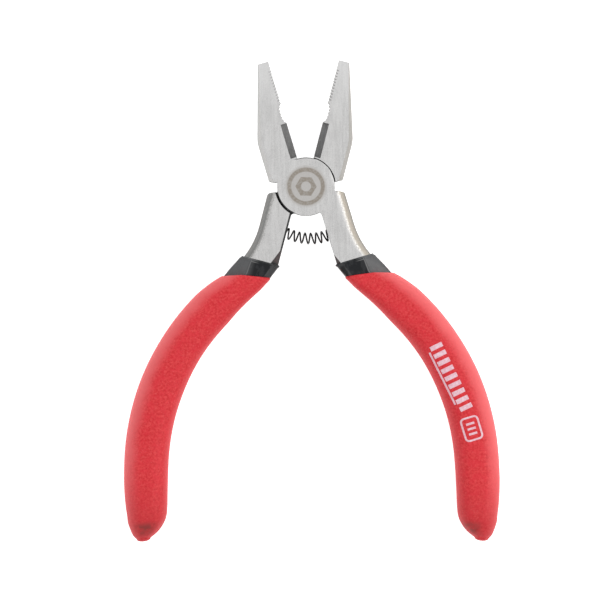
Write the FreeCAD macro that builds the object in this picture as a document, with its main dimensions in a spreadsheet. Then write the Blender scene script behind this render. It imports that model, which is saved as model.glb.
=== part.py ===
"""Mini combination pliers with a lap joint, coil return spring and dipped grips.

Millimetres.  The pliers lie flat: +Y runs to the jaw tips, +Z is the pivot axis,
and the origin is on that axis at the back face of the joint.  Both levers are the
same forging.  Each is drawn closed, as the front one (jaw left, handle right),
and its Placement opens it; the rear one is the front one turned over about Y.
"""

import FreeCAD, Part
import math
import os
import Sketcher
from FreeCAD import Vector

# Driving dimensions, in millimetres and degrees.
DIMENSIONS = {
    # joint
    "joint_thick": 7.6,
    "hub_rad": 6.5,
    "lap_gap": 0.02,
    "jaw_side_gap": 0.22,
    "shank_side_gap": 0.5,
    "slot_angle": 10,
    "shoulder_angle": 24.7,
    "half_open": 15.6,
    "rivet_rad": 2.0,
    "rivet_head_rad": 2.9,
    "rivet_head_deep": 1.2,
    "rivet_clear": 0.03,
    # jaws
    "jaw_reach": 29.3,
    "jaw_backset": 0.03,
    "tip_wide": 2.5,
    "jaw_wide": 7.65,
    "jaw_root": 12.5,
    "jaw_root_round": 7.0,
    "heel_round": 0.6,
    "flank_bevel": 0.9,
    "tip_thin": 0.7,
    "cutter_start": 6.9,
    "cutter_end": 14.85,
    "cutter_wide": 1.5,
    "cutter_land": 0.12,
    "pipe_start": 14.95,
    "pipe_end": 19.6,
    "pipe_deep": 0.95,
    "pipe_tooth": 0.3,
    "tooth_pitch": 0.68,
    "tooth_wide": 0.58,
    "tooth_deep": 0.42,
    "first_tooth": 0.23,
    # shank
    "shank_inner": 1.65,
    "shank_outer": 7.95,
    "shank_bend": 11.0,
    "shank_bend_rad": 19.0,
    "shank_end": 19.4,
    "inner_bevel": 0.35,
    "bevel_overlap": 0.2,
    "bevel_start": 6.9,
    "shoulder_round": 0.9,
    "crotch_round": 0.7,
    "shank_round": 2.3,
    "front_flare": 16.5,
    "back_flare": 14.5,
    "flare_slope": 0.42,
    # tang
    "tang_half": 2.3,
    "tang_end_half": 1.8,
    "tang_thick": 4.6,
    "tang_top": 18.8,
    "tang_inset": 1.4,
    "tang_overlap": 1.0,
    "tang_bend_in": 41,
    "tang_bend_out": 38,
    "tang_end": -17.2,
    # handle centreline: one long arc, then a flatter one
    "bow_x": -31.43,
    "bow_y": -57.65,
    "bow_rad": 51.93,
    "bow_end": -11.15,
    "tail_rad": 96.4,
    # inner sleeve
    "sleeve_top": 18.6,
    "sleeve_mid": 22.2,
    "sleeve_low": 26.0,
    "sleeve_half": 4.2,
    "sleeve_low_half": 3.8,
    # outer grip
    "grip_half_wide": 5.0,
    "grip_half_thick": 4.7,
    "rear_tail_cut": 0.8,
    "dip_level": 21.65,
    "dip_slope": 0.19,
    "dip_reach_in": 10,
    "dip_reach_out": 22,
    # return spring
    "spring_wire": 0.175,
    "spring_coil": 1.175,
    "spring_pitch": 1.25,
    "spring_drop": 11.6,
    "spring_half": 6.2,
    "seat_rad": 1.85,
    "seat_deep": 2.2,
    "seat_shift": 0.15,
}

PAST = "1"                 # how far a cut reaches past the metal
EDGE_MARGIN = 0.1          # slack when edges are picked out by where they lie
FLAT_TEETH = 11
PIPE_TEETH = 6
PIPE_SQUARENESS = 4        # 2 gives a plain arc; more gives a flatter floor

doc = FreeCAD.newDocument("mini_pliers")
sheet = doc.addObject("Spreadsheet::Sheet", "dims")
for row, (alias, number) in enumerate(DIMENSIONS.items(), start=1):
    sheet.set(f"A{row}", alias)
    sheet.set(f"B{row}", str(number))
    sheet.setAlias(f"B{row}", alias)
doc.recompute()


def value(expression):
    """Number that an expression over the sheet gives, as a plain float."""
    result = sheet.evalExpression(str(expression))
    return float(getattr(result, "Value", result))


# Placements of the two halves, as expressions.
FRONT_PLACE = "placement(vector(0; 0; 0); rotation(vector(0; 0; 1); dims.half_open))"
REAR_PLACE = ("placement(vector(0; 0; dims.joint_thick); "
              "rotation(vector(0; 0; 1); -dims.half_open) * rotation(vector(0; 1; 0); 180))")


def new_body(label, place=None):
    """An empty body whose Placement follows the sheet."""
    body = doc.addObject("PartDesign::Body", label)
    if place:
        body.setExpression("Placement", place)
    return body


def new_sketch(body, name, role="XY_Plane", offset=None):
    """A sketch on one of the body's own origin planes; offset is a placement expression."""
    plane = next(item for item in body.Origin.OriginFeatures if item.Role == role)
    sketch = body.newObject("Sketcher::SketchObject", name)
    sketch.AttachmentSupport = [(plane, "")]
    sketch.MapMode = "FlatFace"
    if offset:
        sketch.setExpression("AttachmentOffset", offset)
    return sketch


def bind(sketch, kind, *arguments):
    """Add a dimension whose last argument is an expression over the sheet."""
    *references, expression = arguments
    index = sketch.addConstraint(Sketcher.Constraint(kind, *references, value(expression)))
    sketch.setExpression(f"Constraints[{index}]", str(expression))


def arc_between(start, end, radius):
    """Arc from start to end; it bulges left of the way there if radius is negative."""
    chord = end - start
    middle = (start + end) * 0.5
    side = Vector(-chord.y, chord.x, 0).normalize()
    rise = math.sqrt(max(radius ** 2 - (chord.Length / 2) ** 2, 0))
    turn = math.copysign(1, radius)
    centre = middle + side * rise * turn
    crest = centre - side * abs(radius) * turn
    return Part.Arc(start, crest, end)


def outline(sketch, corners):
    """Closed outline.  A corner is (x, y) or (x, y, radius): the radius makes an arc
    to the next corner, positive where the way round turns left."""
    points = [Vector(value(corner[0]), value(corner[1]), 0) for corner in corners]
    sides = []
    for index, corner in enumerate(corners):
        start = points[index]
        finish = points[(index + 1) % len(points)]
        if len(corner) == 3:
            side = sketch.addGeometry(arc_between(start, finish, value(corner[2])), False)
        else:
            side = sketch.addGeometry(Part.LineSegment(start, finish), False)
        # An arc that turns right is kept from its far end.
        forward = sketch.getPoint(side, 1).distanceToPoint(start) < 1e-6
        sides.append((side, 1, 2) if forward else (side, 2, 1))
    for index, corner in enumerate(corners):
        side, near, far = sides[index]
        following, joined, _ = sides[(index + 1) % len(corners)]
        sketch.addConstraint(Sketcher.Constraint("Coincident", side, far, following, joined))
        bind(sketch, "DistanceX", -1, 1, side, near, corner[0])
        bind(sketch, "DistanceY", -1, 1, side, near, corner[1])
        if len(corner) == 3:
            bind(sketch, "Radius", side, f"abs({corner[2]})")
    return sketch


def pad(body, name, sketch, length):
    feature = body.newObject("PartDesign::Pad", name)
    feature.Profile = sketch
    feature.setExpression("Length", length)
    doc.recompute()
    return feature


def pocket(body, name, sketch, length, reverse=False, both_ways=False):
    """A cut that must take material away, so the volume is compared."""
    doc.recompute()
    before = body.Tip.Shape.Volume
    feature = body.newObject("PartDesign::Pocket", name)
    feature.Profile = sketch
    feature.Reversed = reverse
    feature.SideType = "Symmetric" if both_ways else "One side"
    feature.setExpression("Length", length)
    doc.recompute()
    if feature.Shape.isNull() or before - feature.Shape.Volume < 1e-3:
        raise RuntimeError(f"{name} cuts nothing")
    return feature


def edges_where(shape, test):
    """Names of the edges whose middle and direction pass a test."""
    names = []
    for index, edge in enumerate(shape.Edges, start=1):
        middle = edge.valueAt((edge.FirstParameter + edge.LastParameter) / 2)
        if test(middle, edge):
            names.append(f"Edge{index}")
    return names


def upright_near(x, y, reach=0.2):
    """Test for an edge along Z that passes the point x, y."""
    def test(middle, edge):
        run = edge.Vertexes[-1].Point - edge.Vertexes[0].Point
        upright = math.hypot(run.x, run.y) < 1e-3 < abs(run.z)
        return upright and math.hypot(middle.x - x, middle.y - y) < reach
    return test


def dress(body, kind, name, size_property, size, names):
    """Fillet or chamfer of named edges of the body's tip."""
    if not names:
        raise RuntimeError(f"{name} finds no edge")
    base = body.Tip
    feature = body.newObject(f"PartDesign::{kind}", name)
    feature.Base = (base, names)
    feature.setExpression(size_property, size)
    doc.recompute()
    if feature.Shape.isNull():
        raise RuntimeError(f"{name} fails: {feature.getStatusString()}")
    return feature


def lever_outline(body):
    """Jaw, heel, hub, shank and shoulder of one lever, seen from its own front."""
    heel = "tan(dims.shoulder_angle)"
    bend = "sqrt(dims.shank_bend_rad ^ 2 - (dims.shank_end - dims.shank_bend) ^ 2)"
    sketch = new_sketch(body, "lever_outline")
    return outline(sketch, [
        ("-dims.jaw_backset", "dims.jaw_reach"),
        ("-dims.tip_wide", "dims.jaw_reach"),
        ("-dims.jaw_wide", "dims.jaw_root"),
        ("-dims.jaw_wide", f"dims.jaw_wide * {heel}"),
        ("-dims.hub_rad * cos(dims.shoulder_angle)", "dims.hub_rad * sin(dims.shoulder_angle)",
         "dims.hub_rad"),
        ("dims.shank_inner", "-sqrt(dims.hub_rad ^ 2 - dims.shank_inner ^ 2)"),
        ("dims.shank_inner", "-dims.shank_end"),
        (f"dims.shank_outer + dims.shank_bend_rad - {bend}", "-dims.shank_end",
         "-dims.shank_bend_rad"),
        ("dims.shank_outer", "-dims.shank_bend"),
        ("dims.shank_outer", f"-dims.shank_outer * {heel}"),
        ("dims.hub_rad * cos(dims.shoulder_angle)", "-dims.hub_rad * sin(dims.shoulder_angle)",
         "dims.hub_rad"),
        ("-dims.jaw_backset", "sqrt(dims.hub_rad ^ 2 - dims.jaw_backset ^ 2)"),
    ])


def on_bow(angle, outward):
    """Point beside the handle's long arc, as two expressions."""
    return (f"dims.bow_x + (dims.bow_rad + ({outward})) * cos({angle})",
            f"dims.bow_y + (dims.bow_rad + ({outward})) * sin({angle})")


def on_tail(angle, outward):
    """Point beside the flatter arc that ends the handle; it leaves the long arc in line."""
    back = "(dims.tail_rad - dims.bow_rad)"
    return (f"dims.bow_x - {back} * cos(dims.bow_end) + (dims.tail_rad + ({outward})) * cos({angle})",
            f"dims.bow_y - {back} * sin(dims.bow_end) + (dims.tail_rad + ({outward})) * sin({angle})")


def add_tang(body):
    """Flat bar that carries the grip, in the middle of the lever's thickness."""
    lift = "(dims.joint_thick - dims.tang_thick) / 2"
    sketch = new_sketch(body, "tang_outline",
                        offset=f"placement(vector(0; 0; {lift}); rotation(vector(0; 0; 1); 0))")
    mean = "(dims.tang_half + dims.tang_end_half) / 2"
    outline(sketch, [
        ("dims.shank_inner + dims.tang_inset", "-dims.tang_top"),
        (*on_bow("dims.tang_bend_in", "-dims.tang_half"), f"-(dims.bow_rad - {mean})"),
        on_bow("dims.bow_end", "-dims.tang_end_half"),
        on_tail("dims.tang_end", "-dims.tang_end_half"),
        on_tail("dims.tang_end", "dims.tang_end_half"),
        (*on_bow("dims.bow_end", "dims.tang_end_half"), f"dims.bow_rad + {mean}"),
        on_bow("dims.tang_bend_out", "dims.tang_half"),
        ("dims.shank_outer + dims.tang_overlap", "-dims.tang_top"),
    ])
    return pad(body, "tang", sketch, "dims.tang_thick")


def dress_flanks(body):
    """Bevel along the jaw's outer edge and the round forged side of the shank."""
    faces = (0, value("dims.joint_thick"))
    tip = -value("dims.tip_wide") - EDGE_MARGIN
    heel = value("dims.jaw_wide * tan(dims.shoulder_angle)") + EDGE_MARGIN
    side = value("dims.shank_outer") - EDGE_MARGIN / 10
    shoulder = -value("dims.shank_outer * tan(dims.shoulder_angle)") - EDGE_MARGIN

    def on_face(middle, edge):
        heights = [middle.z] + [end.Z for end in edge.Vertexes]
        return all(min(abs(height - face) for face in faces) < 1e-3 for height in heights)

    def on_jaw(middle, edge):
        return on_face(middle, edge) and middle.x < tip and middle.y > heel

    def on_shank(middle, edge):
        return on_face(middle, edge) and middle.x > side and middle.y < shoulder

    jaw = edges_where(body.Tip.Shape, on_jaw)
    dress(body, "Chamfer", "flank_bevel", "Size", "dims.flank_bevel", jaw)
    shank = edges_where(body.Tip.Shape, on_shank)
    dress(body, "Fillet", "shank_round", "Radius", "dims.shank_round", shank)


def thin_the_jaw(body):
    """Both faces of the jaw run in a little towards the tip."""
    sketch = new_sketch(body, "jaw_taper", "YZ_Plane")
    far = f"(dims.jaw_reach + {PAST})"
    above = f"dims.joint_thick + {PAST}"
    loss = f"dims.tip_thin * ({far} - dims.jaw_root) / (dims.jaw_reach - dims.jaw_root)"
    outline(sketch, [("dims.jaw_root", "dims.joint_thick"), (far, f"dims.joint_thick - {loss}"),
                     (far, above), ("dims.jaw_root", above)])
    outline(sketch, [("dims.jaw_root", "0"), ("dims.jaw_root", f"-{PAST}"),
                     (far, f"-{PAST}"), (far, loss)])
    return pocket(body, "jaw_taper_cut", sketch, "4 * dims.jaw_wide", both_ways=True)


def round_corner(body, name, corner, inward_angles, radius):
    """Round an upright corner by cutting off what lies outside the rounding arc.
    inward_angles are the directions, in degrees, of the two sides that leave the corner."""
    x, y = corner
    one, two = inward_angles
    half = (two - one) / 2
    run = radius / math.tan(math.radians(half))

    def point(angle, length):
        return (f"{x} + {length:.4f} * cos({angle:.4f})", f"{y} + {length:.4f} * sin({angle:.4f})")

    sketch = new_sketch(body, name)
    outline(sketch, [point(one, run) + (f"-{radius}",), point(two, run),
                     point(one + half + 180, 3 * radius)])
    return pocket(body, f"{name}_cut", sketch, "3 * dims.joint_thick", both_ways=True)


def recess_for_other_hub(body):
    """The back half of the hub goes, and the jaw and shank clear the other lever's hub."""
    depth = "dims.joint_thick / 2 + dims.lap_gap"
    disc = new_sketch(body, "lap_disc")
    disc.addGeometry(Part.Circle(Vector(0, 0, 0), Vector(0, 0, 1), value("dims.hub_rad")), False)
    disc.addConstraint(Sketcher.Constraint("Coincident", 0, 3, -1, 1))
    bind(disc, "Radius", 0, "dims.hub_rad + dims.jaw_side_gap")
    pocket(body, "lap_disc_cut", disc, depth, reverse=True)
    wide = "(dims.hub_rad + dims.shank_side_gap)"
    half = new_sketch(body, "lap_shank_side")
    reach = f"{wide} * cos(dims.slot_angle)"
    down = f"-{wide} * sin(dims.slot_angle)"
    outline(half, [(f"-{reach}", down, wide), (reach, down)])
    pocket(body, "lap_shank_side_cut", half, depth, reverse=True)


def rivet_profile(body, name, clearance):
    """Half section of the rivet, wider all round by the clearance."""
    sketch = new_sketch(body, name, "XZ_Plane")
    shaft = f"dims.rivet_rad + {clearance}"
    head = f"dims.rivet_head_rad + {clearance}"
    return outline(sketch, [
        ("0", "0"), (head, "0"), (shaft, "dims.rivet_head_deep"),
        (shaft, "dims.joint_thick - dims.rivet_head_deep"), (head, "dims.joint_thick"),
        ("0", "dims.joint_thick")])


def bore_for_rivet(body, clearance):
    sketch = rivet_profile(body, "bore_section", clearance)
    doc.recompute()
    before = body.Tip.Shape.Volume
    groove = body.newObject("PartDesign::Groove", "bore")
    groove.Profile = sketch
    groove.ReferenceAxis = (sketch, ["V_Axis"])
    groove.Angle = 360
    doc.recompute()
    if before - groove.Shape.Volume < 1:
        raise RuntimeError("the bore cuts nothing")


def cut_the_cutter(body):
    """Side cutter: a bevel from each face down to an edge at mid thickness."""
    level = "placement(vector(0; 0; -dims.cutter_end); rotation(vector(0; 0; 1); 0))"
    sketch = new_sketch(body, "cutter_section", "XZ_Plane", level)
    edge = "-dims.jaw_backset"
    back = "-(dims.jaw_backset + dims.cutter_wide)"
    top = "dims.joint_thick"
    high = "dims.joint_thick / 2 + dims.cutter_land"
    low = "dims.joint_thick / 2 - dims.cutter_land"
    above = f"{top} + {PAST}"
    below = f"-{PAST}"
    outline(sketch, [(PAST, high), (PAST, above), (back, above), (back, top), (edge, high)])
    outline(sketch, [(PAST, low), (edge, low), (back, "0"), (back, below), (PAST, below)])
    pocket(body, "cutter_bevels", sketch, "dims.cutter_end - dims.cutter_start", reverse=True)


def cut_pipe_grip(body):
    """Hollow with coarse teeth behind the cutter."""
    sketch = new_sketch(body, "pipe_grip")
    corners = [(PAST, "dims.pipe_start")]
    steps = 2 * PIPE_TEETH
    for step in range(steps + 1):
        along = step / steps
        bow = 1 - (2 * along - 1) ** PIPE_SQUARENESS
        crest = 1 if step % 2 == 0 and 0 < step < steps else 0
        corners.append((f"-(dims.jaw_backset + dims.pipe_deep * {bow:.4f} - dims.pipe_tooth * {crest})",
                        f"dims.pipe_start + (dims.pipe_end - dims.pipe_start) * {along:.4f}"))
    corners.append((PAST, "dims.pipe_end"))
    outline(sketch, corners)
    pocket(body, "pipe_grip_cut", sketch, "3 * dims.joint_thick", both_ways=True)


def cut_flat_teeth(body):
    """Fine serrations from the pipe grip to the tip."""
    sketch = new_sketch(body, "tooth")
    start = "(dims.pipe_end + dims.first_tooth)"
    edge = "-dims.jaw_backset"
    outline(sketch, [(PAST, start), (PAST, f"{start} + dims.tooth_wide"),
                     (edge, f"{start} + dims.tooth_wide"),
                     ("-(dims.jaw_backset + dims.tooth_deep)", f"{start} + dims.tooth_wide / 2"),
                     (edge, start)])
    groove = pocket(body, "tooth_cut", sketch, "3 * dims.joint_thick", both_ways=True)
    before = body.Tip.Shape.Volume
    row = body.newObject("PartDesign::LinearPattern", "tooth_row")
    row.Originals = [groove]
    row.Direction = (sketch, ["V_Axis"])
    row.setExpression("Length", f"dims.tooth_pitch * {FLAT_TEETH - 1}")
    row.Occurrences = FLAT_TEETH
    body.Tip = row
    doc.recompute()
    if before - row.Shape.Volume < 1:
        raise RuntimeError("the row of teeth cuts nothing")


def cut_spring_seat(body):
    """Blind hole in the shank's inner face for the end of the return spring."""
    level = "placement(vector(0; 0; dims.shank_inner); rotation(vector(0; 0; 1); 0))"
    sketch = new_sketch(body, "spring_seat", "YZ_Plane", level)
    down = ("(dims.spring_drop + dims.shank_inner * sin(dims.half_open)) / cos(dims.half_open)"
            " + dims.seat_shift")
    centre = Vector(-value(down), value("dims.joint_thick / 2"), 0)
    sketch.addGeometry(Part.Circle(centre, Vector(0, 0, 1), value("dims.seat_rad")), False)
    bind(sketch, "DistanceX", -1, 1, 0, 3, f"-({down})")
    bind(sketch, "DistanceY", -1, 1, 0, 3, "dims.joint_thick / 2")
    bind(sketch, "Radius", 0, "dims.seat_rad")
    pocket(body, "spring_seat_cut", sketch, "dims.seat_deep", reverse=True)


def bevel_inner_edge(body):
    """Narrow bevel on the back of the shank's inner edge, from the hub to the flare."""
    end = "(dims.back_flare + dims.bevel_overlap)"
    level = f"placement(vector(0; 0; {end}); rotation(vector(0; 0; 1); 0))"
    sketch = new_sketch(body, "inner_bevel_section", "XZ_Plane", level)
    margin = 0.5
    outline(sketch, [
        (f"dims.shank_inner - {margin}", f"dims.inner_bevel + {margin}"),
        (f"dims.shank_inner - {margin}", f"-{margin}"),
        (f"dims.shank_inner + dims.inner_bevel + {margin}", f"-{margin}")])
    pocket(body, "inner_bevel_cut", sketch, f"{end} - dims.bevel_start", reverse=True)


def cut_flare(body, name, start, face, outward):
    """Sloping flat on the shank's inner edge that widens towards the sleeve.
    outward is 1 at the front face and -1 at the back face."""
    margin = 0.5
    end = "(dims.shank_end + 0.5)"
    sketches = []
    for tag, level, reach in (("narrow", start, "0"),
                              ("wide", end, f"({end} - {start}) * dims.flare_slope")):
        place = f"placement(vector(0; 0; {level}); rotation(vector(0; 0; 1); 0))"
        sketch = new_sketch(body, f"{name}_{tag}", "XZ_Plane", place)
        outline(sketch, [
            (f"dims.shank_inner - {margin}", f"{face} + {outward * margin}"),
            (f"dims.shank_inner - {margin}", f"{face} - {outward} * ({reach} + {margin})"),
            (f"dims.shank_inner + {reach} + {margin}", f"{face} + {outward * margin}")])
        sketches.append(sketch)
    doc.recompute()
    before = body.Tip.Shape.Volume
    flare = body.newObject("PartDesign::SubtractiveLoft", name)
    flare.Profile = sketches[0]
    flare.Sections = sketches[1:]
    flare.Ruled = True
    doc.recompute()
    if before - flare.Shape.Volume < 0.1:
        raise RuntimeError(f"{name} cuts nothing")


def build_lever(label, place, clearance):
    """One lever; clearance is the running gap around the rivet, nothing where it is fixed."""
    body = new_body(label, place)
    pad(body, "lever_blank", lever_outline(body), "dims.joint_thick")
    root = (value("-dims.jaw_wide"), value("dims.jaw_root"))
    dress(body, "Fillet", "jaw_root_round", "Radius", "dims.jaw_root_round",
          edges_where(body.Tip.Shape, upright_near(*root)))
    crotch = (value("dims.shank_inner"), value("-sqrt(dims.hub_rad ^ 2 - dims.shank_inner ^ 2)"))
    dress(body, "Fillet", "crotch_round", "Radius", "dims.crotch_round",
          edges_where(body.Tip.Shape, upright_near(*crotch)))
    dress_flanks(body)
    thin_the_jaw(body)
    angle = value("dims.shoulder_angle")
    heel = ("-dims.jaw_wide", "dims.jaw_wide * tan(dims.shoulder_angle)")
    shoulder = ("dims.shank_outer", "-dims.shank_outer * tan(dims.shoulder_angle)")
    round_corner(body, "heel", heel, (-angle, 90), value("dims.heel_round"))
    round_corner(body, "shoulder", shoulder, (180 - angle, 270), value("dims.shoulder_round"))
    recess_for_other_hub(body)
    bore_for_rivet(body, clearance)
    cut_the_cutter(body)
    cut_pipe_grip(body)
    cut_flat_teeth(body)
    cut_spring_seat(body)
    bevel_inner_edge(body)
    cut_flare(body, "front_flare", "dims.front_flare", "dims.joint_thick", 1)
    cut_flare(body, "back_flare", "dims.back_flare", "0", -1)
    add_tang(body)
    return body


def build_rivet():
    body = new_body("pivot_rivet")
    sketch = rivet_profile(body, "rivet_section", "0")
    turned = body.newObject("PartDesign::Revolution", "rivet_turned")
    turned.Profile = sketch
    turned.ReferenceAxis = (sketch, ["V_Axis"])
    turned.Angle = 360
    return body


def build_spring():
    """Coil spring between the two seats, straight as drawn."""
    place = ("placement(vector(-dims.spring_half; -dims.spring_drop; dims.joint_thick / 2); "
             "rotation(vector(1; 0; 0); 0))")
    body = new_body("return_spring", place)
    sketch = new_sketch(body, "wire_section")
    sketch.addGeometry(Part.Circle(Vector(0, value("dims.spring_coil"), 0), Vector(0, 0, 1),
                                   value("dims.spring_wire")), False)
    bind(sketch, "DistanceX", -1, 1, 0, 3, "0")
    bind(sketch, "DistanceY", -1, 1, 0, 3, "dims.spring_coil")
    bind(sketch, "Radius", 0, "dims.spring_wire")
    coil = body.newObject("PartDesign::AdditiveHelix", "coil")
    coil.Profile = sketch
    coil.ReferenceAxis = (sketch, ["H_Axis"])
    coil.Mode = "pitch-height-angle"
    coil.setExpression("Pitch", "dims.spring_pitch")
    coil.setExpression("Height", "2 * dims.spring_half")
    return body


def sleeve_form(label, place):
    """Outside of the inner sleeve: a flat panel with sloping sides, in three sections.
    A section is its level, its four x positions, and its half heights at the inner
    edge, the panel and the outer edge."""
    body = new_body(label, place)
    mid = "dims.joint_thick / 2"
    sections = [
        ("dims.sleeve_top", (1.2, 2.9, 7.8, 10.2), (3.3, "dims.sleeve_half", 2.7)),
        ("dims.sleeve_mid", (2.7, 4.1, 8.0, 12.1), (3.0, "dims.sleeve_half", 2.3)),
        ("dims.sleeve_low", (5.4, 7.0, 9.6, 13.8), (2.4, "dims.sleeve_low_half", 1.8)),
    ]
    sketches = []
    for index, (level, across, heights) in enumerate(sections):
        place_level = f"placement(vector(0; 0; {level}); rotation(vector(0; 0; 1); 0))"
        sketch = new_sketch(body, f"{label}_section{index}", "XZ_Plane", place_level)
        inner, panel_in, panel_out, outer = across
        low, panel, side = heights
        outline(sketch, [
            (inner, f"{mid} - ({low})"), (panel_in, f"{mid} - ({panel})"),
            (panel_out, f"{mid} - ({panel})"), (outer, f"{mid} - ({side})"),
            (outer, f"{mid} + ({side})"), (panel_out, f"{mid} + ({panel})"),
            (panel_in, f"{mid} + ({panel})"), (inner, f"{mid} + ({low})")])
        sketches.append(sketch)
    loft = body.newObject("PartDesign::AdditiveLoft", f"{label}_loft")
    loft.Profile = sketches[0]
    loft.Sections = sketches[1:]
    loft.Ruled = True
    doc.recompute()
    return body


def grip_section(body, name, centre, angle, half_wide, half_thick, corner):
    """Rounded rectangle square to the handle, centred on a point of its run."""
    x, y = centre
    place = (f"placement(vector({x}; dims.joint_thick / 2; -({y})); "
             f"rotation(vector(0; 1; 0); {angle}))")
    sketch = new_sketch(body, name, "XZ_Plane", place)
    flat_x = f"({half_wide} - {corner})"
    flat_z = f"({half_thick} - {corner})"
    return outline(sketch, [
        (half_wide, f"-{flat_z}"), (half_wide, flat_z, corner),
        (flat_x, half_thick), (f"-{flat_x}", half_thick, corner),
        (f"-{half_wide}", flat_z), (f"-{half_wide}", f"-{flat_z}", corner),
        (f"-{flat_x}", f"-{half_thick}"), (flat_x, f"-{half_thick}", corner)])


def grip_form(label, place, tail_cut):
    """Outside of the dipped grip: sections along the handle, then the slanted dip line.
    A section is its angle on the arc, what it gives up of the half width and half
    thickness, its outward shift, and its corner radius. tail_cut is the angle by which the
    tail ends early."""
    body = new_body(label, place)
    bow_sections = [
        (50, 2.15, 0.2, 0.8, 1.6), (46.5, 1.7, 0.1, 0.55, 1.8), (42, 1.26, 0, 0, 2.2),
        (37.5, 0.95, 0, -0.15, 2.6), (34, 0.57, 0, -0.07, 3.0), (29, 0.2, 0, -0.05, 3.5),
        (18, 0.13, 0, 0, 4.0), (4, 0, 0, 0, 4.1), (-7, 0, 0, 0, 4.1),
    ]
    tail_sections = [
        (-14.5, 0.05, 0, 0, 4.1), (-18, 0.25, 0.15, 0, 4.0), (-19.5, 0.48, 0.3, 0.02, 3.8),
        (-20.4, 0.7, 0.6, 0.2, 3.6), (-21.3, 1.35, 1.2, 0.5, 3.1), (-22, 2.15, 2.0, 0.85, 2.4),
        (-22.6, 3.15, 2.9, 1.2, 1.65), (-23, 4.2, 3.95, 1.5, 0.7),
    ]
    sketches = []
    for on_arc, sections, early in ((on_bow, bow_sections, "0"), (on_tail, tail_sections, tail_cut)):
        for angle, narrower, thinner, shift, corner in sections:
            turn = f"({angle} + {early})"
            sketches.append(grip_section(
                body, f"{label}_section{len(sketches)}", on_arc(turn, shift), turn,
                f"(dims.grip_half_wide - {narrower})", f"(dims.grip_half_thick - {thinner})",
                f"{corner}"))
    doc.recompute()
    loft = body.newObject("PartDesign::AdditiveLoft", f"{label}_loft")
    loft.Profile = sketches[0]
    loft.Sections = sketches[1:]
    doc.recompute()
    above = new_sketch(body, f"{label}_dip")

    def dip(x):
        return f"-(dims.dip_level + dims.dip_slope * ({x}))"

    left, right = "-dims.dip_reach_in", "dims.dip_reach_out"
    outline(above, [(left, dip(left)), (right, dip(right)), (right, "0"), (left, "0")])
    pocket(body, f"{label}_dip_cut", above, "6 * dims.grip_half_thick", both_ways=True)
    return body


def cut_out(label, base, tool):
    piece = doc.addObject("Part::Cut", label)
    piece.Base = base
    piece.Tool = tool
    return piece


def build_half(side, place, clearance, tail_cut):
    """Lever, inner sleeve and outer grip of one half; each skin fits what it covers."""
    lever = build_lever(f"{side}_lever", place, clearance)
    sleeve_outside = sleeve_form(f"{side}_sleeve_form", place)
    grip_outside = grip_form(f"{side}_grip_form", place, tail_cut)
    sleeve = cut_out(f"{side}_inner_sleeve", sleeve_outside, lever)
    core = doc.addObject("Part::MultiFuse", f"{side}_core")
    core.Shapes = [lever, sleeve_outside]
    grip = cut_out(f"{side}_outer_grip", grip_outside, core)
    return [lever, sleeve, grip]


pieces = build_half("front", FRONT_PLACE, "0", "0")
pieces += build_half("rear", REAR_PLACE, "dims.rivet_clear", "dims.rear_tail_cut")
pieces += [build_rivet(), build_spring()]
doc.recompute()

for item in doc.Objects:
    bad = [word for word in item.State if word in ("Invalid", "Error")]
    if bad:
        raise RuntimeError(f"{item.Label} is {bad}")

os.makedirs("parts", exist_ok=True)
for piece in pieces:
    shape = piece.Shape
    if shape.isNull() or not shape.isValid():
        raise RuntimeError(f"{piece.Label} has no valid shape")
    if len(shape.Solids) != 1:
        raise RuntimeError(f"{piece.Label} is {len(shape.Solids)} solids, not one")
    shape.exportStep(f"parts/{piece.Label}.step")
    box = shape.BoundBox
    print(f"{piece.Label}: {shape.Volume:.1f} mm3, x {box.XMin:.2f} {box.XMax:.2f}, "
          f"y {box.YMin:.2f} {box.YMax:.2f}, z {box.ZMin:.2f} {box.ZMax:.2f}")
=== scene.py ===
"""Mini combination pliers: the looks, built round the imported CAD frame.

Shapes are worked out in millimetres in a lever's closed frame: pivot at the origin,
jaw towards +y, handle towards -y and +x, the lever's own front face at the top.
TO_ROW turns that frame to the row frame, in metres, for the front and the rear half."""
import bisect
import math

import bmesh
import bpy
from mathutils import Matrix, Vector
from mathutils.bvhtree import BVHTree


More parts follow.
